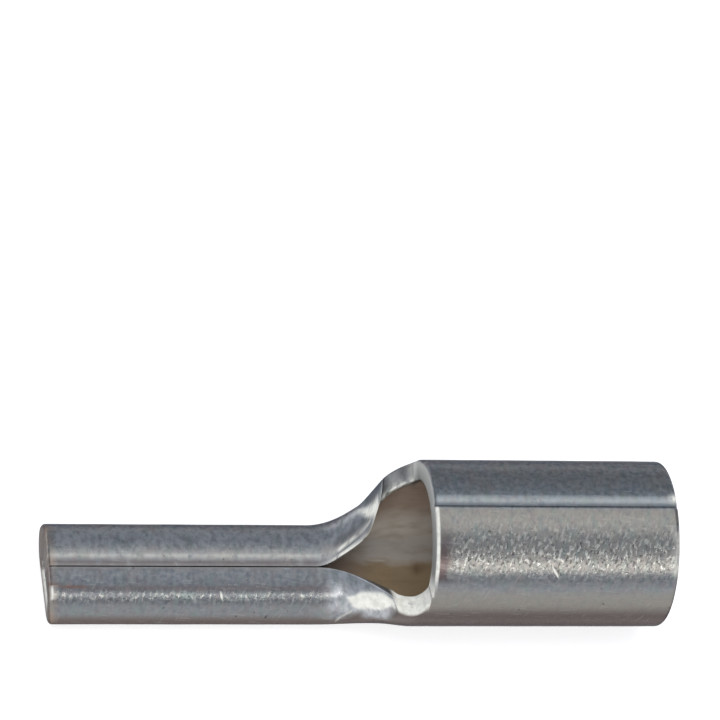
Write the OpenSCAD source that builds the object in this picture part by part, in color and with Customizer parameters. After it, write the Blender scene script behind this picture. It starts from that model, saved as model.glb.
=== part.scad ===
// Pin cable lug, stamped and rolled from one tinned copper sheet.
// The bore's axis is X with the cable's mouth at x = 0 and the pin points to -X.
// The lug lies on its back, with the seams of barrel and pin on top, towards +Z.

/* [Sheet] */
// Thickness of the sheet
sheet_t = 1; // [0.7:0.05:1.2]
// Break of the sheared edges
edge_break = 0.12; // [0.05:0.01:0.2]

/* [Barrel] */
// Bore that takes the stripped conductor
bore_d = 5.8; // [5:0.1:9]
// Length of the rolled barrel
barrel_len = 11.6; // [8:0.1:18]
// Rounding of the edges at the mouth
mouth_round = 0.25; // [0.1:0.05:0.3]
// Distance of the barrel's seam from the middle plane, along the sheet
barrel_seam_off = 0.4; // [0:0.05:0.8]
// Width of the groove along the barrel's seam
groove_w = 0.5; // [0.3:0.05:0.8]
// Depth of that groove
groove_depth = 0.18; // [0.1:0.02:0.24]

/* [Neck] */
// Length of the open neck between the barrel's front rim and the closed pin
neck_len = 4.85; // [4.5:0.05:9]
// Part of the neck that keeps the barrel's round
neck_lead = 0.35; // [0.2:0.05:1.2]
// Radius of the rounded corners where the tongue leaves the barrel
window_r = 1.6; // [1.2:0.1:2]
// Turn of those corners, from the tongue's edge to the barrel's rim
window_turn = 82; // [60:1:84]
// Share of the way to its direction in the pin by which the far wing's edge is curled in
curl_far = 1; // [0:0.05:1]
// The same share for the near wing's edge
curl_near = 0.5; // [0:0.05:0.8]
// Distance from the rim to the start of the far curl
curl_far_at = 1.4; // [1.2:0.05:2.2]
// Distance from the rim to the start of the near curl
curl_near_at = 1.25; // [1:0.05:2.2]
// Length over which a curl reaches its full turn
curl_lead = 0.35; // [0.2:0.05:0.6]
// Delay of the far curl at the inner side of its strip
curl_far_slant = 0.9; // [0:0.1:1.2]
// Width of the curled strip along the far edge, in sheet thicknesses
curl_far_run = 2.6; // [2:0.1:3]
// Width of the curled strip along the near edge, in sheet thicknesses
curl_near_run = 1.4; // [1.4:0.1:2]

/* [Pin] */
// Length of the closed pin
pin_len = 12.55; // [8:0.05:24]
// Width of the pin across its back
pin_w = 5.1; // [4.6:0.05:5.6]
// Height of the pin from its flat back to its round crown
pin_h = 3.3; // [3.1:0.05:3.8]
// Inner radius of the folds at both sides of the flat back
fold_r = 0.15; // [0.1:0.01:0.3]
// Gap between the rolled edges at the pin's seam
pin_gap = 0.08; // [0.05:0.01:0.2]
// Distance of the pin's seam from the middle plane, along the sheet
pin_seam_off = 0.64; // [0:0.02:0.9]
// Rounding of the pin's sheared end
tip_round = 0.2; // [0.1:0.02:0.3]

/* [Hidden] */
$fn = 96;

// Radii of the barrel
bore_r = bore_d / 2;
mid_r = bore_r + sheet_t / 2;
barrel_r = bore_r + sheet_t;

// Front rim of the barrel, start of the closed pin and tip, along X
rim_x = -barrel_len;
pin_x = rim_x - neck_len;
tip_x = pin_x - pin_len;

// The pin's section: a flat back, a fold at each side and a crown arc that meets both folds
fold_out = fold_r + sheet_t;
flat = pin_w / 2 - fold_out;
rise = pin_h - fold_out;
crown_r = (flat * flat + rise * rise - fold_out * fold_out) / (2 * (rise - fold_out));
fold_turn = atan2(flat, rise - crown_r);

// Lengths along the sheet's middle line, from the middle of the back to the top
fold_m = fold_out - sheet_t / 2;
crown_m = crown_r - sheet_t / 2;
fold_s = fold_m * fold_turn * PI / 180;
crown_s = crown_m * (180 - fold_turn) * PI / 180;
half_s = flat + fold_s + crown_s;

// Facets of the tongue: samples across each half, stations along the window, the closing neck and the tip
half_steps = 26;
window_steps = 24;
closing_steps = 10;
tip_steps = 3;
// The tongue's root starts inside the barrel's wall, this deep behind the rim and this far
// below the skins, and comes up through them by a hair before it reaches the rim
root_depth = 0.5;
root_below = 0.08;
root_above = 0.012;
root_lead = 0.06;

// Distance from the rim at which both curls are full
curl_end = max(curl_far_at + curl_far_slant, curl_near_at) + curl_lead;

function smooth(u) = u <= 0 ? 0 : u >= 1 ? 1 : u * u * (3 - 2 * u);

// How far the tongue has closed at x: 0 is the barrel's arc, 1 is the pin's section
function closing(x) = smooth((rim_x - neck_lead - x) / (neck_len - neck_lead));

// Extra half width of the tongue in the window's rounded corner
function corner_rise(x) =
    let (
        run = window_r * sin(window_turn),
        u = min(max(x - rim_x + run, 0), run)
    )
    window_r - sqrt(window_r * window_r - u * u);

// Half width of the tongue at x: side is 1 for the far half and -1 for the near half
function half_width(x, side) =
    let (off = barrel_seam_off + (pin_seam_off - barrel_seam_off) * closing(x))
    half_s - pin_gap / 2 + side * off + corner_rise(x);

// Turn of the middle line in degrees at the length s from the middle of the back
function barrel_bend(s) = s / mid_r * 180 / PI;
function pin_bend(s) =
    s < flat ? 0 :
    s < flat + fold_s ? (s - flat) / fold_m * 180 / PI :
    fold_turn + (s - flat - fold_s) / crown_m * 180 / PI;
function mixed_bend(s, close) = (1 - close) * barrel_bend(s) + close * pin_bend(s);

// Extra turn of the strip along a cut edge: past the window's corner the edge is curled towards its
// direction in the pin, less by even steps down to the strip's inner side, where the curl starts later
function curl(x, s, side, close, len) =
    let (
        far = side > 0,
        depth = (len - s) / (sheet_t * (far ? curl_far_run : curl_near_run)),
        start = far ? curl_far_at + curl_far_slant * depth : curl_near_at,
        share = (far ? curl_far : curl_near) * max(1 - depth, 0)
    )
    share * smooth((rim_x - x - start) / curl_lead) * (pin_bend(len) - mixed_bend(len, close));

function bend(x, s, side, close, len) = mixed_bend(s, close) + curl(x, s, side, close, len);

// Length along the sheet of sample i: the last step is the broken edge
function sample(i, len) =
    i == half_steps ? len : (len - edge_break) * i / (half_steps - 1);

// One half of the middle line as [y, z, bend] from the back to the cut edge
function half_line(x, side) =
    let (
        close = closing(x),
        len = half_width(x, side),
        s = [for (i = [0:half_steps]) sample(i, len)],
        run = [for (i = [0:half_steps - 1]) s[i + 1] - s[i]],
        mid = [for (i = [0:half_steps - 1]) bend(x, (s[i] + s[i + 1]) / 2, side, close, len)]
    )
    [for (
        i = 0, y = 0, z = 0;
        i <= half_steps;
        y = i < half_steps ? y + run[i] * cos(mid[i]) : y,
        z = i < half_steps ? z + run[i] * sin(mid[i]) : z,
        i = i + 1
    ) [y, z, bend(x, s[i], side, close, len)]];

// Point of a skin: out is its distance from the middle line, positive on the outside
function skin_point(x, side, p, out) =
    [x, side * (p[0] + out * sin(p[2])), sheet_t / 2 - barrel_r + p[1] - out * cos(p[2])];

// One skin of the tongue at x, from the near cut edge to the far one
function skin(x, out, face) =
    let (
        near = half_line(x, -1),
        far = half_line(x, 1),
        edge = out - edge_break
    )
    [
        for (i = [half_steps:-1:1])
            skin_point(x, -1, near[i], face * (i == half_steps ? edge : out)),
        for (i = [0:half_steps])
            skin_point(x, 1, far[i], face * (i == half_steps ? edge : out))
    ];

// Closed section of the tongue: outer skin out, inner skin back
function section(x, inset) =
    let (
        inner = skin(x, sheet_t / 2 - inset, -1),
        last = len(inner) - 1
    )
    concat(skin(x, sheet_t / 2 - inset, 1), [for (i = [last:-1:0]) inner[i]]);

// Stations from the root in the barrel's wall to the rounded tip, as [x, inset]
stations = concat(
    [[rim_x + root_depth, root_below], [rim_x + root_lead, -root_above]],
    [for (i = [0:window_steps])
        [rim_x - root_lead - (curl_end - root_lead) * i / window_steps, i == 0 ? -root_above : 0]],
    [for (i = [1:closing_steps]) [rim_x - curl_end - (neck_len - curl_end) * i / closing_steps, 0]],
    [for (i = [0:tip_steps])
        let (a = 90 * i / tip_steps)
        [tip_x + tip_round * (1 - sin(a)), tip_round * (1 - cos(a))]]
);

// Neck and pin: the tongue's sections joined into one skin with two end caps
module tongue() {
    rings = [for (s = stations) section(s[0], s[1])];
    n = len(rings[0]);
    top = (len(rings) - 1) * n;
    // Triangles between neighbouring sections
    sides = [for (j = [0:len(rings) - 2], i = [0:n - 1])
        let (a = j * n + i, b = j * n + (i + 1) % n)
        each [[a, b, a + n], [b, b + n, a + n]]];
    // Flat quads across the sheet's thickness close both ends
    caps = [for (i = [0:n / 2 - 2])
        let (k = n - 1 - i)
        each [
            [k, k - 1, i + 1, i],
            [top + i, top + i + 1, top + k - 1, top + k]
        ]];
    polyhedron(points = [for (r = rings) each r], faces = concat(sides, caps), convexity = 8);
}

// Quarter round of an edge, as points of the barrel's wall profile
function quarter(centre, r, from) =
    [for (a = [0:22.5:90]) centre + r * [cos(from + a), sin(from + a)]];

// Barrel: the rolled wall turned about the bore's axis, less the groove of its seam
module barrel() {
    r = mouth_round;
    groove_r = (groove_w * groove_w / 4 + groove_depth * groove_depth) / (2 * groove_depth);
    difference() {
        rotate([0, 90, 0])
            rotate_extrude()
                polygon(concat(
                    [[bore_r, rim_x], [barrel_r, rim_x]],
                    quarter([barrel_r - r, -r], r, 0),
                    quarter([bore_r + r, -r], r, 90)
                ));
        rotate([barrel_bend(barrel_seam_off), 0, 0])
            translate([rim_x - 1, 0, barrel_r - groove_depth + groove_r])
                rotate([0, 90, 0])
                    cylinder(r = groove_r, h = barrel_len + 2);
    }
}

// The whole lug is one piece of sheet
module lug() {
    color([0.6, 0.62, 0.64])
        union() {
            barrel();
            tongue();
        }
}

lug();
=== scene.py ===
import math

import bmesh
import bpy
import numpy as np
from mathutils import Matrix, Vector

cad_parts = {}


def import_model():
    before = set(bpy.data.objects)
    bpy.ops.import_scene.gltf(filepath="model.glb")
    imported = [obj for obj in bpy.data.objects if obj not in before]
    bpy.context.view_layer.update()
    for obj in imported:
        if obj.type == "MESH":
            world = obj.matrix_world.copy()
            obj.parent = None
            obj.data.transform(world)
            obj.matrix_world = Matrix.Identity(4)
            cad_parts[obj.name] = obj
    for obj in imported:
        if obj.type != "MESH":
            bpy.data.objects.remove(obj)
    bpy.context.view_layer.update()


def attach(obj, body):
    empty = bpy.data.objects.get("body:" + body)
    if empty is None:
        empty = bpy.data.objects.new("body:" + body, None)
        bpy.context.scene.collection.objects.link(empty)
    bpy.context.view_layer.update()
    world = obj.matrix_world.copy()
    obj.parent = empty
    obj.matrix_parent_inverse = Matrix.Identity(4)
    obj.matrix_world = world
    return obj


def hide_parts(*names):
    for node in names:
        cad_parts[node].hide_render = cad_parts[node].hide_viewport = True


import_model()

# The pin: the end of the tongue of a T-shaped blank, cut from 1 mm copper sheet and tinned after forming.
# A die folds it to a flat back, a tight fold at each side and a round crown; its cut edges butt on top.
# Lengths are in millimetres: x runs along the lug, and s along the sheet from the middle of its back.
SHEET_T = 1.0
PIN_W = 5.1
PIN_H = 3.3
FOLD_R = 0.15
FAR_DROOP, NEAR_LIFT, LEAN_W = math.radians(5), math.radians(9), 1.4
RIDGE_AT, RIDGE_UP, RIDGE_DOWN, RIDGE_TURN = 3.54, 0.2, 0.4, math.radians(10.2)
fold_out = FOLD_R + SHEET_T
flat = PIN_W / 2 - fold_out
rise = PIN_H - fold_out
crown_r = (flat**2 + rise**2 - fold_out**2) / (2 * (rise - fold_out))
fold_turn = math.atan2(flat, rise - crown_r)
fold_m = fold_out - SHEET_T / 2
crown_m = crown_r - SHEET_T / 2
fold_s = fold_m * fold_turn
half_s = flat + fold_s + crown_m * (math.pi - fold_turn)


def pin_bend(s, side, width):
    """Turn of the pin's middle line at s: none along the flat back, even over the fold and the crown.
    The far edge droops a little; the near half has a soft ridge, and its edge is lifted to the far one."""
    turn = np.where(s < flat, 0.0, np.minimum((s - flat) / fold_m, fold_turn))
    turn = turn + np.maximum(s - flat - fold_s, 0.0) / crown_m
    edge = np.maximum(1.0 - (width - s) / LEAN_W, 0.0)
    if side > 0:
        return turn + FAR_DROOP * edge
    u = (s - RIDGE_AT) / np.where(s > RIDGE_AT, RIDGE_UP, RIDGE_DOWN)
    return turn + RIDGE_TURN * u * np.exp(-u * u / 2) - NEAR_LIFT * edge


# The neck: the open stretch of the tongue, which keeps the barrel's round at the rim and closes to the pin.
# The blank's corners at the rim are punched round, which leaves the window into the barrel,
# and past them the die has curled the wings' edges in, the far one more than the near one.
BORE_R = 2.9
MID_R = BORE_R + SHEET_T / 2
BARREL_R = BORE_R + SHEET_T
BARREL_LEN = 11.6
RIM_X = -BARREL_LEN
NECK_LEN = 4.85
NECK_LEAD = 0.35
WINDOW_R = 1.6
WINDOW_TURN = math.radians(82)
BARREL_SEAM_OFF, PIN_SEAM_OFF, PIN_GAP = 0.4, 0.64, 0.004
EDGE_ROUND, SEAM_ROUND, SEAM_ROUND_AT, SEAM_ROUND_RUN = 0.1, 0.012, 2.5, 2.0
CURL_FAR, CURL_FAR_AT, CURL_FAR_RUN, CURL_FAR_SLANT = 1.0, 1.4, 2.6, 0.9
CURL_NEAR, CURL_NEAR_AT, CURL_NEAR_RUN = 0.5, 1.25, 1.4
CURL_LEAD = 0.35
FAR_SWELL, FAR_SWELL_AT, FAR_SWELL_RUN = 0.26, 2.55, 0.75


def ease(u):
    """Smooth step: three u squared less two u cubed, held at 0 and 1 outside."""
    u = np.clip(u, 0.0, 1.0)
    return u * u * (3.0 - 2.0 * u)


def closing(x):
    """How far the tongue has closed at x: 0 is the barrel's arc and 1 is the pin's section."""
    return ease((RIM_X - NECK_LEAD - x) / (NECK_LEN - NECK_LEAD))


def corner_rise(x):
    """Extra half width in the window's corner: a circle arc that leaves the tongue's straight edge."""
    run = WINDOW_R * math.sin(WINDOW_TURN)
    u = np.clip(x - RIM_X + run, 0.0, run)
    return WINDOW_R - np.sqrt(WINDOW_R**2 - u**2)


def half_width(x, side):
    """Length of the tongue from the middle of its back to its far (1) or near (-1) cut edge: the pin's
    half round, moved by the seam's offset, with the window's corner and a bell-shaped far swell."""
    off = BARREL_SEAM_OFF + (PIN_SEAM_OFF - BARREL_SEAM_OFF) * closing(x)
    swell = FAR_SWELL * np.exp(-(((RIM_X - x - FAR_SWELL_AT) / FAR_SWELL_RUN) ** 2)) * (side > 0)
    return half_s - PIN_GAP / 2 + side * off + corner_rise(x) + swell


def edge_round(x):
    """Radius of the cut edge at x: full along the window and small along the pin's seam."""
    return EDGE_ROUND + (SEAM_ROUND - EDGE_ROUND) * ease((RIM_X - x - SEAM_ROUND_AT) / SEAM_ROUND_RUN)


def edge_steps(radius, count=6):
    """Depths from an edge at even turns of its quarter circle, from the edge inwards."""
    return radius * (1.0 - np.cos(np.linspace(0.0, np.pi / 2, count)))


def bend(x, s, side, width):
    """Turn of the tongue's middle line at s: the barrel's even round mixed with the pin's by the closing.
    Past the window's corner the strip along the edge is also curled towards the edge's direction in the
    pin, most at the edge and evenly less to the strip's inner side, where the far curl starts later."""
    close = closing(x)
    mixed = (1.0 - close) * s / MID_R + close * pin_bend(s, side, width)
    missing = (1.0 - close) * (pin_bend(width, side, width) - width / MID_R)
    if side > 0:
        depth = (width - s) / CURL_FAR_RUN
        share = CURL_FAR * ease((RIM_X - x - CURL_FAR_AT - CURL_FAR_SLANT * depth) / CURL_LEAD)
    else:
        depth = (width - s) / CURL_NEAR_RUN
        share = CURL_NEAR * ease((RIM_X - x - CURL_NEAR_AT) / CURL_LEAD)
    return mixed + missing * share * np.maximum(1.0 - depth, 0.0)


def tongue_half(x, side, columns=46):
    """Middle line of one half at each x: the running sum of its turning direction over the length.
    Returns s, y, z, turn and depth from the cut edge of each column, from the back outwards."""
    width = half_width(x, side)[:, None]
    slant = 1.0 / np.sqrt(1.0 + np.gradient(width[:, 0], x) ** 2)[:, None]
    steps = edge_steps(1.0)[None, ::-1] * edge_round(x)[:, None] / slant
    inner = np.linspace(0.0, 1.0, columns)[None, :-1] * (width - steps[:, :1])
    s = np.concatenate([inner, width - steps], axis=1)
    mid = bend(x[:, None], (s[:, 1:] + s[:, :-1]) / 2, side, width)
    run = np.diff(s, axis=1)
    start = np.zeros((len(x), 1))
    y = np.concatenate([start, np.cumsum(run * np.cos(mid), axis=1)], axis=1)
    z = np.concatenate([start, np.cumsum(run * np.sin(mid), axis=1)], axis=1)
    return side * s, side * y, z, side * bend(x[:, None], s, side, width), (width - s) * slant


def both_halves(near, far):
    """Near half turned round and joined to the far half at the middle of the back."""
    return np.concatenate([near[:, :0:-1], far], axis=1)


# The tongue: neck and pin as two skins, in rows from the rim to the tip that are closest along the window.
# The tip is sheared off on a slight slant, set back at its near side and its back, with rounded edges,
# and the shears have pressed the hollow narrower at the end.
PIN_LEN = 12.55
PIN_X = RIM_X - NECK_LEN
TIP_X = PIN_X - PIN_LEN
WINDOW_LEN = 2.7
WINDOW_ROWS, CLOSING_ROWS, PIN_ROWS, TIP_ROWS = 92, 36, 44, 7
TIP_ROUND = 0.2
TIP_BACK, TIP_SLANT_Y, TIP_SLANT_Z, TIP_SLANT_RUN = -0.02, 0.03, 0.07, 1.6
TIP_SQUEEZE, TIP_SQUEEZE_RUN = 0.3, 1.2
HOLLOW_Y, HOLLOW_Z = -1.2, SHEET_T + FOLD_R - BARREL_R
ROUND_SIZE = 2 * math.pi * MID_R
DENTS, DENT_DEPTH = 14, 0.0007


def edge_drop(depth, radius):
    """Fall of a skin by its rounded edge: a quarter circle of the radius, over the depth from the edge."""
    d = np.clip(depth, 0.0, radius)
    return radius - np.sqrt(np.maximum(radius**2 - (radius - d) ** 2, 0.0))


def handling(x, s):
    """Shallow dents of handling: a sum of sine waves over x and s, lowered so that it only goes inwards."""
    rng = np.random.default_rng(7)
    total = np.zeros(np.broadcast(x, s).shape)
    for around, along in zip(rng.integers(-9, 10, DENTS), rng.uniform(-0.55, 0.55, DENTS)):
        total = total + np.sin(2 * np.pi * (around * s / ROUND_SIZE + along * x) + rng.uniform(0, 6.28))
    return DENT_DEPTH * (total - DENTS)


def skin(x, y, z, turn, out):
    """Point at the distance out from the middle line along its outward normal."""
    py = y + out * np.sin(turn)
    pz = SHEET_T / 2 - BARREL_R + z - out * np.cos(turn)
    return np.stack([np.broadcast_to(x, py.shape), py, pz], axis=-1)


tongue_x = np.concatenate([
    RIM_X - np.linspace(0.0, WINDOW_LEN, WINDOW_ROWS)[:-1],
    RIM_X - np.linspace(WINDOW_LEN, NECK_LEN, CLOSING_ROWS)[:-1],
    np.linspace(PIN_X, TIP_X + TIP_ROUND, PIN_ROWS)[:-1],
    TIP_X + edge_steps(TIP_ROUND, TIP_ROWS)[::-1],
])
tongue_s, tongue_y, tongue_z, tongue_turn, tongue_depth = (
    both_halves(near, far) for near, far in zip(tongue_half(tongue_x, -1), tongue_half(tongue_x, 1)))
tip_depth = (tongue_x - TIP_X)[:, None] + 0.0 * tongue_s
edge_fall = edge_drop(tongue_depth, edge_round(tongue_x)[:, None])
tongue_fall = np.maximum(edge_fall, edge_drop(tip_depth, TIP_ROUND))
crown_z = PIN_H - SHEET_T
setback = np.maximum(TIP_BACK - TIP_SLANT_Y * tongue_y + TIP_SLANT_Z * (crown_z - tongue_z), 0.0)
setback = setback * ease((TIP_X + TIP_SLANT_RUN - tongue_x) / TIP_SLANT_RUN)[:, None]
tongue_at = tongue_x[:, None] + setback
tongue_out = SHEET_T / 2 - tongue_fall + handling(tongue_x[:, None], tongue_s)
tongue_outer = skin(tongue_at, tongue_y, tongue_z, tongue_turn, tongue_out)
tongue_inner = skin(tongue_at, tongue_y, tongue_z, tongue_turn, tongue_fall - SHEET_T / 2)
squeeze = 1.0 - TIP_SQUEEZE * ease((TIP_X + TIP_SQUEEZE_RUN - tongue_x) / TIP_SQUEEZE_RUN)[:, None]
tongue_inner[..., 1] = HOLLOW_Y + (tongue_inner[..., 1] - HOLLOW_Y) * squeeze
tongue_inner[..., 2] = HOLLOW_Z + (tongue_inner[..., 2] - HOLLOW_Z) * squeeze

# The barrel: the wide end of the blank, rolled round and brazed along its butt seam.
# At the seam the far edge rolls down into a narrow groove with a steep near wall; the mouth is rounded.
# Its last column stops a hair short of its first one, so that the finish isn't smeared between them.
MOUTH_ROUND = 0.25
RIM_ROUND, RIM_ROUND_RUN = 0.2, 0.6
LIP_W, WALL_W, GROOVE_DEPTH = 0.5, 0.16, 0.115
CLOSE_W = 0.004
SIDE_COLUMNS, LIP_COLUMNS, WALL_COLUMNS = 36, 16, 8
BARREL_ROWS, MOUTH_ROWS = 44, 8
tongue_cols = tongue_s.shape[1]
rim_s = tongue_s[0]
seam_at = ROUND_SIZE / 2 + BARREL_SEAM_OFF
window_s = np.concatenate([
    np.linspace(rim_s[-1], seam_at - LIP_W, SIDE_COLUMNS)[1:],
    np.linspace(seam_at - LIP_W, seam_at, LIP_COLUMNS)[1:],
    np.linspace(seam_at, seam_at + WALL_W, WALL_COLUMNS)[1:],
    np.linspace(seam_at + WALL_W, rim_s[0] + ROUND_SIZE - CLOSE_W, SIDE_COLUMNS)[1:],
])
barrel_s = np.concatenate([rim_s, window_s])
barrel_x = np.concatenate([
    RIM_X + edge_steps(RIM_ROUND),
    np.linspace(RIM_X + RIM_ROUND, -MOUTH_ROUND, BARREL_ROWS)[1:-1],
    -edge_steps(MOUTH_ROUND, MOUTH_ROWS)[::-1],
])
rim_depth = np.concatenate([tongue_depth[0], np.zeros(len(window_s))])
front_depth = rim_depth[None, :] + (barrel_x - RIM_X)[:, None]
mouth_depth = -barrel_x[:, None] + 0.0 * front_depth
mouth_fall = edge_drop(mouth_depth, MOUTH_ROUND)
past_corner = np.minimum(barrel_s - rim_s[-1], rim_s[0] + ROUND_SIZE - barrel_s)
rim_round = EDGE_ROUND + (RIM_ROUND - EDGE_ROUND) * ease(past_corner / RIM_ROUND_RUN)[None, :]


def seam_dip(s):
    """Depth of the seam across the sheet: a parabola down over the lip and a steeper one up the wall."""
    lip = np.clip(1.0 + (s - seam_at) / LIP_W, 0.0, 1.0) ** 2 * (s <= seam_at)
    wall = np.clip(1.0 - (s - seam_at) / WALL_W, 0.0, 1.0) ** 2 * (s > seam_at)
    return GROOVE_DEPTH * (lip + wall)


def barrel_skin(x, out):
    """Circle round the bore's axis at the middle line's radius plus out, turned by s over that radius."""
    angle = barrel_s[None, :] / MID_R
    radius = MID_R + out
    py, pz = radius * np.sin(angle), -radius * np.cos(angle)
    return np.stack([np.broadcast_to(x[:, None], py.shape), py, pz], axis=-1)


outer_fall = np.maximum(edge_drop(front_depth, rim_round), mouth_fall) + seam_dip(barrel_s)[None, :]
inner_fall = np.maximum(edge_drop(front_depth, EDGE_ROUND), mouth_fall)
barrel_out = SHEET_T / 2 - outer_fall + handling(barrel_x[:, None], barrel_s[None, :])
barrel_outer = barrel_skin(barrel_x, barrel_out)
barrel_inner = barrel_skin(barrel_x, inner_fall - SHEET_T / 2)
barrel_outer[0, :tongue_cols] = tongue_outer[0]
barrel_inner[0, :tongue_cols] = tongue_inner[0]

# The lug: both skins of barrel and tongue in one closed mesh, joined across all the cut edges.
# The front row of the barrel is also the first row of the tongue.
MM = 0.001
ring = barrel_outer.shape[1]
barrel_count = barrel_outer.shape[0] * ring
rest_count = (tongue_outer.shape[0] - 1) * tongue_cols


def index_grids(start):
    """Vertex numbers of one skin: the barrel's grid, then the tongue's grid that shares the rim's row."""
    barrel = start + np.arange(barrel_count).reshape(-1, ring)
    rest = start + barrel_count + np.arange(rest_count).reshape(-1, tongue_cols)
    return barrel, np.concatenate([barrel[:1, :tongue_cols], rest], axis=0)


def quads(a, b, c, d):
    """Four arrays of corner numbers as one list of quads."""
    return np.stack([a.ravel(), b.ravel(), c.ravel(), d.ravel()], axis=-1)


def strip(a, b):
    """Quads between two rows of corner numbers of the same length."""
    return quads(a[:-1], a[1:], b[1:], b[:-1])


def whole(barrel, tongue):
    """Values of one skin in the order of its vertices: the barrel's rows, then the tongue's other rows."""
    return np.concatenate([barrel.reshape(-1, *barrel.shape[2:]), tongue[1:].reshape(-1, *tongue.shape[2:])])


out_barrel, out_tongue = index_grids(0)
in_barrel, in_tongue = index_grids(barrel_count + rest_count)
out_round = np.concatenate([out_barrel, out_barrel[:, :1]], axis=1)
in_round = np.concatenate([in_barrel, in_barrel[:, :1]], axis=1)
window_cols = np.concatenate([np.arange(tongue_cols - 1, ring), [0]])
faces = np.concatenate([
    quads(out_round[:-1, :-1], out_round[:-1, 1:], out_round[1:, 1:], out_round[1:, :-1]),
    quads(in_round[:-1, :-1], in_round[1:, :-1], in_round[1:, 1:], in_round[:-1, 1:]),
    quads(out_tongue[:-1, :-1], out_tongue[1:, :-1], out_tongue[1:, 1:], out_tongue[:-1, 1:]),
    quads(in_tongue[:-1, :-1], in_tongue[:-1, 1:], in_tongue[1:, 1:], in_tongue[1:, :-1]),
    strip(out_round[-1], in_round[-1]),
    strip(out_barrel[0, window_cols], in_barrel[0, window_cols]),
    strip(out_tongue[:, 0], in_tongue[:, 0]),
    strip(out_tongue[:, -1], in_tongue[:, -1]),
    strip(out_tongue[-1], in_tongue[-1]),
])
points = np.concatenate([whole(barrel_outer, tongue_outer), whole(barrel_inner, tongue_inner)]) * MM
lug_mesh = bpy.data.meshes.new("lug_sheet")
lug_mesh.from_pydata(points, [], faces.tolist())
work = bmesh.new()
work.from_mesh(lug_mesh)
bmesh.ops.recalc_face_normals(work, faces=work.faces)
work.to_mesh(lug_mesh)
work.free()
lug_mesh.polygons.foreach_set("use_smooth", np.ones(len(lug_mesh.polygons), bool))
lug = bpy.data.objects.new("lug_sheet", lug_mesh)
bpy.context.scene.collection.objects.link(lug)

# Marks on the lug: painted highlights that partly stand for burnished lines and scrapes of the punch beside
# the window, cut faces, painted shade in seams and folds, rust and stains, battered stripes and painted shade
# in brown on the lower side, each a value from 0 to 1 on the mesh.
# A mark is a product of soft steps and bells over x, over s and over the reach from the tongue's cut edge.
NOTCH_END, LOBE_AT = 1.6, 1.9
STRIPE_S, STRIPE_ABOVE, STRIPE_BELOW = 13.4, 1.2, 0.6
RIDGE_S, RUST_S, RUST_LEAN, RUST_LEAN_AT = -3.45, -3.76, 0.06, 15.5
skin_x = whole(barrel_x[:, None] + 0.0 * front_depth, tongue_x[:, None] + 0.0 * tongue_s)
skin_s = whole(barrel_s[None, :] + 0.0 * front_depth, tongue_s)
skin_depth = whole(np.minimum(front_depth, mouth_depth), np.minimum(tongue_depth, tip_depth))
skin_up = whole(-np.cos(barrel_s / MID_R)[None, :] + 0.0 * front_depth, -np.cos(tongue_turn))
reach = whole(rim_depth[None, :] + 0.0 * front_depth, tongue_depth)
from_rim = RIM_X - skin_x
past_rim = skin_x - RIM_X
far_side = (skin_s > 0) * (skin_s < seam_at)
near_side = skin_s < 0
past_seam = skin_s > seam_at
round_s = np.where(near_side, skin_s + ROUND_SIZE, skin_s)
none = np.zeros(len(skin_x))


def after(value, start, run):
    """Soft step up: 0 as far as the start and 1 from a run past it."""
    return ease((value - start) / run)


def before(value, end, run):
    """Soft step down: 1 as far as a run before the end and 0 from the end."""
    return ease((end - value) / run)


def bell(value, middle, width):
    """Bell curve: e to the power of minus the square of the distance from the middle over the width."""
    return np.exp(-(((value - middle) / width) ** 2))


def strongest(*marks):
    """The strongest of several marks at each point."""
    return np.maximum.reduce(marks)


def keep(name, outer, inner):
    """Store one number per vertex on the mesh, the outer skin's first."""
    lug_mesh.attributes.new(name, "FLOAT", "POINT").data.foreach_set(
        "value", np.concatenate([outer, inner]).astype(np.float32))


on_pin = after(from_rim, 4.0, 1.0)
in_neck = before(from_rim, 4.6, 0.8)
by_barrel = before(from_rim, 1.5, 1.5)
far_fold = far_side * after(from_rim, LOBE_AT, 0.3) * before(from_rim, 4.2, 0.6)

# Cut faces are paler than the skin, less so along the far wing, the near wing, the tip and the pin's seam.
far_cut = np.where(far_side * (from_rim > 0.1), 0.1 + 0.7 * after(from_rim, LOBE_AT, 0.3), 1.0)
near_cut = np.where(near_side * (from_rim > NOTCH_END), 0.5, 1.0)
tip_cut = np.where(skin_x < TIP_X + TIP_ROUND, 0.6, 1.0)
seam_cut = 1.0 - 0.65 * on_pin * (skin_x > TIP_X + TIP_ROUND)
cut = before(skin_depth, 0.03, 0.03) * far_cut * near_cut * tip_cut * seam_cut
tip_end = before(skin_x, TIP_X + 0.4, 0.3)
keep("inside", none, after(skin_depth, 0.0, 0.3))
keep("cut", cut, cut)
keep("end", tip_end, tip_end)

# Bright lines, painted highlights that also stand for burnished metal: the groove's lip, the far wing's edge
# and fold, the pin's crown, the mouth and the rim.
lip_line = 0.1 * bell(skin_s, seam_at - 0.2, 0.14)
far_line = far_side * after(from_rim, 1.5, 0.3) * in_neck * bell(reach, 0.05, 0.04)
fold_line = 0.8 * far_fold * bell(reach, 0.31, 0.04)
pin_line = 0.22 * far_side * on_pin * bell(reach, 0.42, 0.09)
mouth_arc = 0.4 * after(skin_s, 11.9, 0.3) * before(skin_s, 14.2, 0.3)
mouth_line = after(skin_x, -0.3, 0.1) * strongest(mouth_arc, bell(skin_s, 10.75, 0.2))
# Painted highlight, also a raised edge, along the far wing's inner corner.
far_burr_and_glint = far_side * after(from_rim, 0.05, 0.25) * in_neck * bell(reach, 0.06, 0.04)
# The rim's outer edge: a painted highlight that also stands for burnished metal.
rim_arc = after(skin_s, seam_at + 0.05, 0.1) * before(skin_s, 15.0, 1.2)
rim_line = rim_arc * before(past_rim, 0.18, 0.06) * after(past_rim, 0.01, 0.04)
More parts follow.
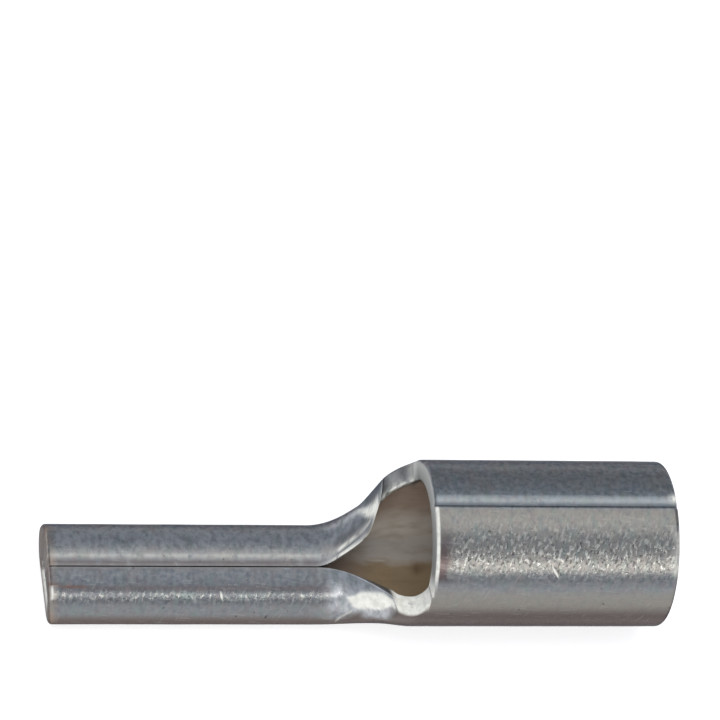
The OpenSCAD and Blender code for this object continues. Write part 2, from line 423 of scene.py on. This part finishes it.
# Painted highlight on the near edge of the pin's tip.
tip_glint = near_side * bell(from_rim, 17.28, 0.06) * after(skin_s, -3.85, 0.08) * before(skin_s, -3.3, 0.08)
# Painted light: a thin light line inside the neck, seen through the window.
bore_line = bell(skin_s, 0.98, 0.035) * after(from_rim, 0.95, 0.15) * before(from_rim, 2.15, 0.2)
# Painted light in the hollow at the pin's tip.
tip_slit = before(skin_x, TIP_X + 0.6, 0.3) * after(skin_s, -2.1, 0.9) * before(skin_s, 1.3, 0.5)
window_part = after(from_rim, 0.02, 0.1) * before(from_rim, 1.95, 0.15)
keep("burr_and_glint_lines", strongest(lip_line, far_line, fold_line, pin_line, mouth_line), far_burr_and_glint)
keep("rub_and_glint_marks", strongest(rim_line, tip_glint), strongest(bore_line, tip_slit))
# Painted highlight along the far wing's inner corner in the window.
keep("corner", none, far_side * window_part * np.clip(1.0 - reach / 0.12, 0, 1))

# Painted highlights that also stand for scrapes of the punch: a widening patch on the near shoulder with a
# thin stroke past it,
# a slanting patch on the far wing's lobe, and the notch's face with the rim's foot next to it.
patch_w = 0.36 * before(from_rim, 3.6, 0.8) * (0.3 + 0.7 * after(from_rim, 1.5, 0.5))
off_patch = np.abs(reach - np.minimum(0.3 + 0.474 * (from_rim - NOTCH_END), 1.02))
patch = after(from_rim, 1.35, 0.15) * before(from_rim, 4.0, 0.5) * ease(0.5 + (patch_w - off_patch) / 0.14)
stroke_line = 1.54 + 1.15 * (from_rim - 3.22)
stroke = 0.4 * after(from_rim, 3.1, 0.1) * before(from_rim, 3.85, 0.1) * bell(reach, stroke_line, 0.07)
lobe_line = 0.1 + 1.4 * (from_rim - 1.8)
lobe = ease(1.5 - np.abs(reach - lobe_line) / 0.22) * after(from_rim, 1.76, 0.08) * before(from_rim, 2.9, 0.6)
notch = near_side * (from_rim > 0) * before(from_rim, 1.62, 0.2) * np.clip(1.0 - reach / 0.16, 0, 1)
foot = past_seam * after(skin_s, 14.0, 1.0) * np.clip(1.0 - past_rim / 0.1, 0, 1) * (from_rim <= 0)
punched_and_highlit = strongest(notch, foot)
keep("scraped_and_highlit", strongest(near_side * patch, near_side * stroke, far_side * lobe, punched_and_highlit), punched_and_highlit)

# Painted shade in the seams, beneath the far wing's edge, in its fold and behind its lobe, and along the near
# wing's edge.
far_band_shade = 0.4 * far_side * after(from_rim, 0.3, 0.5) * before(from_rim, LOBE_AT, 0.2)
far_band_shade = far_band_shade * before(reach, 0.06, 0.06)
lobe_back_shade = after(reach, lobe_line + 0.22, 0.15) * after(from_rim, 1.5, 0.2) * before(from_rim, 2.7, 0.5)
painted_shade = strongest(
    0.55 * bell(skin_s, seam_at - 0.02, 0.12),
    0.2 * far_side * on_pin * bell(reach, 0.13, 0.11),
    0.3 * near_side * (from_rim > NOTCH_END) * bell(reach, 0.0, 0.11),
    0.7 * far_fold * bell(reach, 0.2, 0.05),
    0.45 * far_fold * bell(reach, 0.62, 0.16),
    0.5 * far_side * lobe_back_shade,
    far_band_shade,
)
keep("painted_shade", painted_shade, far_band_shade)

# Brown stains behind the rim and along the pin's seam, rust under the pin's ridge, and a spot in the bore.
rim_brown = 0.85 * before(past_rim, 0.9, 0.35) * after(past_rim, 0.12, 0.08)
rim_brown = rim_brown * after(skin_s, 11.5, 1.8) * before(skin_s, 14.5, 0.4)
seam_brown = on_pin * (0.8 * far_side * bell(reach, 0.08, 0.15) + 0.5 * near_side * bell(reach, 0.0, 0.13))
rust_line = RUST_S - RUST_LEAN * np.maximum(from_rim - RUST_LEAN_AT, 0.0)
rust = bell(skin_s, rust_line, 0.06) * (0.5 * on_pin + 0.5 * after(from_rim, 15.4, 0.5))
keep("brown", strongest(rim_brown, seam_brown), none)
keep("rust", rust, none)
keep("spot", none, bell(past_rim, 0.5, 0.22) * bell(skin_s, 0.5, 0.35))

# Painted light and shade in the tin's colour: lighter on the wings and the groove's wall, darker on the pin's
# near half and below the barrel's stripe, a yellowish lamp tint down the barrel's near side and a brownish
# reflection tint low on it, a bluish reflection tint beside its seam, painted shade in brown beneath except
# on the near wing's facet, and lighter again lowest down.
# Painted light: the wings and the groove's wall are made lighter.
wing_far = far_side * after(from_rim, LOBE_AT, 0.6) * after(reach, 0.5, 0.4) * before(reach, 1.9, 0.5)
wing_near = near_side * after(from_rim, 1.4, 0.4) * in_neck * before(reach, 1.9, 0.5)
wall_painted_light = 0.5 * after(skin_s, seam_at, 0.03) * before(skin_s, seam_at + WALL_W, 0.06)
# Painted shade: the pin's near half and its ridge, and the barrel below its stripe, are made darker.
pin_painted_dim = near_side * on_pin * (0.4 * after(reach, 0.3, 0.5) + 0.72 * bell(skin_s, -3.55, 0.22))
below_stripe = 0.32 * after(round_s, 13.82, 0.16) * before(round_s, 15.9, 0.6)
below_stripe = below_stripe + 0.18 * bell(round_s, 14.2, 0.22)
# Painted reflection: a brownish tint low on the barrel's near side.
painted_warm_reflection = by_barrel * after(round_s, 14.6, 0.4) * before(round_s, 16.3, 0.6)
# Painted light: a yellowish tint of the lamps down the barrel's near side.
painted_warm_light = after(round_s, seam_at + WALL_W, 0.1) * (before(round_s, 14.2, 0.5) + after(round_s, 14.8, 0.5))
# Painted reflection: a bluish tint of the room beside the barrel's seam.
painted_cool_reflection = (skin_x > RIM_X) * far_side * bell(skin_s, seam_at - 0.3, 0.45)
# Painted shade: brown on the lower side, except on the near wing's facet.
facet = near_side * after(from_rim, 1.3, 0.3) * before(from_rim, 2.9, 0.5) * before(reach, 1.95, 0.3)
painted_underside_shade = before(skin_up, 0.2 + 0.15 * on_pin, 0.25) * (1.0 - 0.9 * facet)
keep("painted_light", strongest((0.65 + 0.3 * in_neck) * wing_far + wing_near, wall_painted_light), none)
keep("painted_dim", strongest(pin_painted_dim, by_barrel * below_stripe), none)
keep("painted_warm_reflection", painted_warm_reflection, none)
keep("painted_warm_light", by_barrel * painted_warm_light, none)
keep("painted_cool_reflection", painted_cool_reflection, none)
keep("painted_underside_shade", painted_underside_shade, none)
# Painted light: lighter again lowest down, over the painted shade.
keep("low", before(skin_up, -0.05, 0.25), none)

# Battered stripes along the barrel's near side and the pin's ridge, where the highlights fall, with light
# strokes that also paint highlight, and each point's place on the sheet.
stripe_w = np.where(skin_s < STRIPE_S, STRIPE_ABOVE, STRIPE_BELOW)
stripe = after(past_rim, 0.55, 0.35) * bell(skin_s, STRIPE_S, stripe_w)
keep("battered_and_glint", strongest(stripe, 0.52 * on_pin * bell(skin_s, RIDGE_S, 0.22)), none)
place = np.stack([skin_x, skin_s, none], axis=-1)
lug_mesh.attributes.new("sheet", "FLOAT_VECTOR", "POINT").data.foreach_set(
    "vector", np.concatenate([place, place + np.array([0.0, 0.0, SHEET_T])]).astype(np.float32).ravel())

# The lug's finish: dull tin over copper, a bluish grey metal with a fine speckle, pits and short scratches.
# Bright lines and white, rough patches are painted highlights that partly stand for burnished and scraped
# metal, and the inside is stained brown.
# All noise runs over the place on the sheet, in millimetres, so that it follows every fold.
tin = bpy.data.materials.new("dull_tin")
tin.use_nodes = True
nodes, links = tin.node_tree.nodes, tin.node_tree.links
shader = nodes["Principled BSDF"]
shader.inputs["Specular Tint"].default_value = (0.25, 0.25, 0.27, 1.0)
EVEN = (1.0, 1.0, 1.0)


def stored(name):
    """Node that reads one kept value of the mesh."""
    node = nodes.new("ShaderNodeAttribute")
    node.attribute_name = name
    return node


def mark(name):
    """One kept mark as a value."""
    return stored(name).outputs["Fac"]


def spread(stretch, turn, middle=(0.0, 0.0, 0.0)):
    """Place on the sheet, seen from a middle, turned back on the sheet and divided by the stretch."""
    node = nodes.new("ShaderNodeMapping")
    node.vector_type = "TEXTURE"
    node.inputs["Location"].default_value = middle
    node.inputs["Rotation"].default_value = (0.0, 0.0, turn)
    node.inputs["Scale"].default_value = stretch
    links.new(sheet.outputs["Vector"], node.inputs["Vector"])
    return node.outputs["Vector"]


def noise(scale, detail, stretch=EVEN, turn=0.0):
    """Noise over the sheet, in waves per millimetre, stretched along axes that are turned on the sheet."""
    node = nodes.new("ShaderNodeTexNoise")
    node.inputs["Scale"].default_value = scale
    node.inputs["Detail"].default_value = detail
    links.new(spread(stretch, turn), node.inputs["Vector"])
    return node.outputs["Fac"]


def span(value, low, high, to_low=0.0, to_high=1.0):
    """Value between low and high spread to another range and held there."""
    node = nodes.new("ShaderNodeMapRange")
    for socket, number in zip(("From Min", "From Max", "To Min", "To Max"), (low, high, to_low, to_high)):
        node.inputs[socket].default_value = number
    links.new(value, node.inputs["Value"])
    return node.outputs["Result"]


def nick(x, s, turn, length, width):
    """Single deep scratch on the outer skin: a long ellipse on the sheet that fades to its edge."""
    ball = nodes.new("ShaderNodeTexGradient")
    ball.gradient_type = "SPHERICAL"
    size = (length / 2, width / 2, SHEET_T / 2)
    links.new(spread(size, math.radians(turn), (x, s, 0.0)), ball.inputs["Vector"])
    return span(ball.outputs["Fac"], 0.05, 0.5)


def combine(operation, a, b):
    """Two values put together by one operation; the second may be a plain number."""
    node = nodes.new("ShaderNodeMath")
    node.operation = operation
    links.new(a, node.inputs[0])
    if isinstance(b, float):
        node.inputs[1].default_value = b
    else:
        links.new(b, node.inputs[1])
    return node.outputs[0]


def times(a, b):
    """Product of a value and another value or a plain number."""
    return combine("MULTIPLY", a, b)


def most(first, *others):
    """The greatest of several values."""
    for other in others:
        first = combine("MAXIMUM", first, other)
    return first


def tint(factor, base, over):
    """Colour that goes from base to over with the factor."""
    node = nodes.new("ShaderNodeMix")
    node.data_type = "RGBA"
    links.new(factor, node.inputs["Factor"])
    for socket, colour in ((node.inputs["A"], base), (node.inputs["B"], over)):
        if isinstance(colour, tuple):
            socket.default_value = (*colour, 1.0)
        else:
            links.new(colour, socket)
    return node.outputs["Result"]


def layered(base, *layers):
    """Base colour with layers over it in turn, each a share and a colour."""
    for share, colour in layers:
        base = tint(share, base, colour)
    return base


# Speckle, strokes of the battered stripes, pits, scratches and single nicks, one nick with a painted shadow
# beside it.
NICK_SHARE = 0.7
sheet = stored("sheet")
grain = noise(5.0, 3.0)
beaten_and_glint = mark("battered_and_glint")
# Light strokes: scuffs that also paint highlight in the stripes.
strokes_and_glints = times(span(noise(1.0, 2.0, (0.13, 0.27, 1.0), 0.3), 0.52, 0.63), beaten_and_glint)
beaten_pits = times(span(noise(1.0, 1.0, (0.12, 0.17, 1.0), 0.3), 0.44, 0.35), beaten_and_glint)
# Painted shadow: a dark mark just beside the barrel's nick.
nick_shadow = nick(x=-5.79, s=13.88, turn=54.0, length=0.6, width=0.15)
pits_and_nick_shadow = most(span(noise(3.2, 2.0, EVEN, 0.4), 0.29, 0.25), beaten_pits, nick_shadow)
scratch_along = span(noise(2.4, 2.0, (2.8, 0.22, 1.0), 0.08), 0.62, 0.68)
scratch_across = span(noise(2.2, 2.0, (0.25, 2.2, 1.0), 0.5), 0.64, 0.70)
scratches = most(scratch_along, scratch_across)
barrel_nick = times(nick(x=-5.94, s=13.88, turn=54.0, length=0.8, width=0.13), NICK_SHARE)
pin_nick = times(nick(x=-20.92, s=-3.5, turn=68.0, length=0.4, width=0.14), NICK_SHARE)

# Marks broken up by noise: bright is exposed metal and painted highlights together, and takes the lines,
# scrapes, corners and nicks.
inside = mark("inside")
cut_face = mark("cut")
# Painted shade in the seams, the folds and along the wings' edges, read from the mesh.
painted_shade_value = mark("painted_shade")
# Painted highlight lines along the edges, partly burnished metal, broken up by noise.
worn_and_glint = times(mark("burr_and_glint_lines"), span(noise(3.0, 2.0), 0.3, 0.5))
# Painted highlights and punch scrapes, broken up by noise.
scraped_and_highlit = times(mark("scraped_and_highlit"), span(noise(2.6, 4.0), 0.18, 0.38))
# Painted highlight along the far wing's inner corner.
corner = times(combine("POWER", mark("corner"), 5.0), span(noise(2.0, 2.0), 0.3, 0.45))
bright = most(worn_and_glint, scraped_and_highlit, mark("rub_and_glint_marks"), corner, barrel_nick, pin_nick)
brown_spots = times(mark("brown"), span(noise(1.6, 3.0), 0.26, 0.44))
end_spots = times(mark("end"), span(noise(1.5, 3.0), 0.3, 0.6, 0.3, 0.8))
red_spots = span(noise(2.0, 3.0, (0.6, 1.0, 1.0)), 0.48, 0.7, 0.0, 0.5)
green_spots = span(noise(1.5, 4.0, (0.5, 1.2, 1.0), 0.2), 0.5, 0.7, 0.0, 0.6)
dark_spots = span(noise(2.6, 3.0, (0.7, 1.0, 1.0)), 0.47, 0.68, 0.0, 0.4)

# Colour of the outer skin, one layer over the other: tin, painted light and shade, patina, stains, wear, and
# exposed metal with painted highlights.
fresh = tint(span(noise(0.7, 3.0), 0.35, 0.65), (0.184, 0.203, 0.231), (0.228, 0.219, 0.211))
bare_and_glint = tint(span(noise(3.5, 3.0), 0.35, 0.6), (0.78, 0.76, 0.68), (0.97, 0.945, 0.865))
tone = layered(
    fresh,
    (span(grain, 0.36, 0.68), (0.285, 0.287, 0.287)),
    # The next four layers are painted light and shade: a yellowish lamp tint, a bluish reflection tint,
    # lighter tin and darker tin.
    (mark("painted_warm_light"), (0.228, 0.217, 0.199)),
    (times(mark("painted_cool_reflection"), 0.6), (0.205, 0.25, 0.29)),
    (mark("painted_light"), (0.455, 0.463, 0.48)),
    (mark("painted_dim"), (0.115, 0.122, 0.131)),
    (red_spots, (0.212, 0.18, 0.182)),
    (green_spots, (0.17, 0.21, 0.195)),
    (dark_spots, (0.12, 0.125, 0.145)),
    # Painted reflection: a brownish tint low on the barrel.
    (times(mark("painted_warm_reflection"), 0.45), (0.25, 0.227, 0.194)),
    (brown_spots, (0.1, 0.07, 0.068)),
    # Painted shade in brown on the lower side, then painted light lowest down.
    (mark("painted_underside_shade"), (0.145, 0.125, 0.117)),
    (mark("low"), (0.265, 0.23, 0.215)),
    (painted_shade_value, (0.09, 0.105, 0.125)),
    # Pits, with a painted shadow beside one nick.
    (times(pits_and_nick_shadow, 0.7), (0.05, 0.045, 0.04)),
    (times(scratches, 0.16), (0.42, 0.42, 0.42)),
    # Light strokes, partly painted highlight.
    (times(strokes_and_glints, 0.65), (0.55, 0.54, 0.5)),
    (cut_face, (0.53, 0.53, 0.51)),
    (end_spots, (0.27, 0.215, 0.18)),
    (times(mark("rust"), 0.8), (0.2, 0.105, 0.075)),
    # Exposed metal and painted highlights.
    (bright, bare_and_glint),
)

# Colour of the inside: brown low in the bore, greyer above an uneven line, brown again at the top and in the
# neck, with streaks and one dark spot, and pale tin towards the pin's tip; the greyer band is painted light
# on the bore's wall.
across = nodes.new("ShaderNodeSeparateXYZ")
links.new(sheet.outputs["Vector"], across.inputs[0])
along = across.outputs["X"]
level = combine("ADD", across.outputs["Y"], span(noise(0.9, 3.0), 0.3, 0.7, -0.15, 0.15))
streaks = span(noise(2.2, 4.0, (2.5, 1.0, 1.0)), 0.45, 0.75, 0.0, 0.45)
stain_and_light = layered(
    (0.41, 0.305, 0.19),
    # Painted light: the greyer band above the uneven line.
    (span(level, 0.7, 1.15), (0.57, 0.525, 0.46)),
    (span(level, 3.1, 4.3), (0.43, 0.335, 0.27)),
    (streaks, (0.27, 0.19, 0.12)),
    (times(mark("spot"), 0.6), (0.13, 0.085, 0.05)),
    (span(along, -13.4, -15.0), (0.42, 0.33, 0.28)),
    (span(along, -19.0, -24.0), (0.85, 0.84, 0.8)),
)
tone = layered(tone, (inside, stain_and_light), (times(bright, inside), (0.75, 0.7, 0.6)))
links.new(tone, shader.inputs["Base Color"])

# Stained places and the bright ones, exposed metal and painted highlights, are less metallic and rougher, and
# the fine marks stand out as bumps.
BUMP_SHARE, BUMP_HEIGHT = 0.5, 0.000012
metal = times(span(inside, 0.0, 1.0, 1.0, 0.2), span(bright, 0.0, 1.0, 1.0, 0.12))
links.new(metal, shader.inputs["Metallic"])
rough = span(grain, 0.3, 0.7, 0.24, 0.36)
for value, share in ((inside, 0.3), (cut_face, 0.25), (painted_shade_value, 0.4), (bright, 0.15)):
    rough = combine("ADD", rough, times(value, share))
links.new(rough, shader.inputs["Roughness"])
relief = combine("ADD", times(grain, 0.5), times(scratches, -0.25))
relief = combine("SUBTRACT", combine("ADD", relief, times(strokes_and_glints, 1.6)), pits_and_nick_shadow)
relief = combine("ADD", relief, times(scraped_and_highlit, noise(4.0, 3.0)))
bumps = nodes.new("ShaderNodeBump")
bumps.inputs["Strength"].default_value = BUMP_SHARE
bumps.inputs["Distance"].default_value = BUMP_HEIGHT
links.new(relief, bumps.inputs["Height"])
links.new(bumps.outputs["Normal"], shader.inputs["Normal"])
lug_mesh.materials.append(tin)

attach(lug, "root")
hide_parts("lug")

# The stage: a plain white floor that the lug lies on.
# It glows a little to the camera and in reflections, so that it shows white and keeps the shadow.
FLOOR_HALF = 1.5
FLOOR_Z = -BARREL_R * MM
FLOOR_GREY = (0.75, 0.75, 0.75, 1.0)
FLOOR_GLOW = 0.6
floor_mesh = bpy.data.meshes.new("floor")
floor_corners = [(FLOOR_HALF * x, FLOOR_HALF * y, FLOOR_Z) for x, y in ((-1, -1), (1, -1), (1, 1), (-1, 1))]
floor_mesh.from_pydata(floor_corners, [], [(0, 1, 2, 3)])
floor = bpy.data.objects.new("floor", floor_mesh)
bpy.context.scene.collection.objects.link(floor)
white = bpy.data.materials.new("white_floor")
white.use_nodes = True
nodes, links = white.node_tree.nodes, white.node_tree.links
nodes.clear()
matt = nodes.new("ShaderNodeBsdfDiffuse")
matt.inputs["Color"].default_value = FLOOR_GREY
seen = nodes.new("ShaderNodeLightPath").outputs
shown = most(seen["Is Camera Ray"], seen["Is Glossy Ray"], seen["Is Transmission Ray"])
glow = nodes.new("ShaderNodeEmission")
links.new(times(shown, FLOOR_GLOW), glow.inputs["Strength"])
total = nodes.new("ShaderNodeAddShader")
links.new(matt.outputs[0], total.inputs[0])
links.new(glow.outputs[0], total.inputs[1])
surface = nodes.new("ShaderNodeOutputMaterial")
links.new(total.outputs[0], surface.inputs["Surface"])
floor_mesh.materials.append(white)

# The light: a grey room that is a little brighter towards the camera's side,
# with a broad soft box overhead and a long low strip on the near side.
ROOM_TINT = (0.88, 0.96, 1.08, 1.0)
ROOM_BRIGHT_SIDE = (0.0, -0.56, 0.83)
LAMP_TINT = (1.0, 0.97, 0.91)
world = bpy.data.worlds.new("room")
bpy.context.scene.world = world
world.use_nodes = True
nodes, links = world.node_tree.nodes, world.node_tree.links
room = nodes["Background"]
room.inputs["Color"].default_value = ROOM_TINT
heading = nodes.new("ShaderNodeTexCoord")
toward = nodes.new("ShaderNodeVectorMath")
toward.operation = "DOT_PRODUCT"
toward.inputs[1].default_value = ROOM_BRIGHT_SIDE
links.new(heading.outputs["Generated"], toward.inputs[0])
links.new(span(toward.outputs["Value"], 0.6, 1.0, 0.5, 0.85), room.inputs["Strength"])


def axes_matrix(right, up, back, at):
    """Matrix whose columns are an object's right, up and back directions and its place."""
    return Matrix(((*right, 0.0), (*up, 0.0), (*back, 0.0), (*at, 1.0))).transposed()


def soft_box(name, direction, distance, across, along, radiance):
    """Rectangular lamp that faces the lug's middle, with a given brightness of its surface."""
    lamp = bpy.data.lights.new(name, "AREA")
    lamp.shape = "RECTANGLE"
    lamp.size, lamp.size_y = along, across
    lamp.energy = radiance * math.pi * along * across
    lamp.color = LAMP_TINT
    holder = bpy.data.objects.new(name, lamp)
    bpy.context.scene.collection.objects.link(holder)
    back = Vector(direction).normalized()
    side = Vector((1.0, 0.0, 0.0))
    side = (side - side.dot(back) * back).normalized()
    middle = Vector((TIP_X / 2 * MM, 0.0, 0.0))
    holder.matrix_world = axes_matrix(side, back.cross(side), back, middle + back * distance)


soft_box("overhead", direction=(0.0, 0.1, 1.0), distance=0.5, across=0.46, along=0.8, radiance=0.95)
soft_box("near_strip", direction=(0.1, -0.895, 0.41), distance=0.5, across=0.08, along=0.8, radiance=4.8)

# The camera: at the photograph's angle, from the near side and a little from the pin's end.
# One point on the bore's axis is put at its pixel, at a scale and a distance that fit the lug's outline.
VIEW_TILT = math.radians(34.0)
VIEW_YAW = math.radians(11.6)
VIEW_DIST = 0.211
FRAME_PX = 720
PX_PER_M = 21456.0
ANCHOR = Vector((-14.5 * MM, 0.0, 0.0))
ANCHOR_PX = (357.9, 542.6)
TURN_IN_FRAME = math.radians(0.248)
SENSOR_MM = 36.0
to_camera = Vector((-math.sin(VIEW_YAW), -math.cos(VIEW_YAW) * math.sin(VIEW_TILT),
                    math.cos(VIEW_YAW) * math.cos(VIEW_TILT)))
level_right = (Vector((1.0, 0.0, 0.0)) - to_camera.x * to_camera).normalized()
level_up = to_camera.cross(level_right)
right = level_right * math.cos(TURN_IN_FRAME) + level_up * math.sin(TURN_IN_FRAME)
up = level_up * math.cos(TURN_IN_FRAME) - level_right * math.sin(TURN_IN_FRAME)
focal_px = PX_PER_M * VIEW_DIST
aim_right = (FRAME_PX / 2 - ANCHOR_PX[0]) / focal_px
aim_up = (ANCHOR_PX[1] - FRAME_PX / 2) / focal_px
aim = (-to_camera + up * aim_up + right * aim_right).normalized()
view_up = (up - up.dot(aim) * aim).normalized()
lens = bpy.data.cameras.new("camera")
lens.sensor_width = SENSOR_MM
lens.lens = focal_px / FRAME_PX * SENSOR_MM
lens.clip_start, lens.clip_end = 0.01, 10.0
camera = bpy.data.objects.new("camera", lens)
bpy.context.scene.collection.objects.link(camera)
camera.matrix_world = axes_matrix(aim.cross(view_up), view_up, -aim, ANCHOR + to_camera * VIEW_DIST)
bpy.context.scene.camera = camera
bpy.context.scene.view_settings.view_transform = "Standard"

bpy.context.view_layer.update()
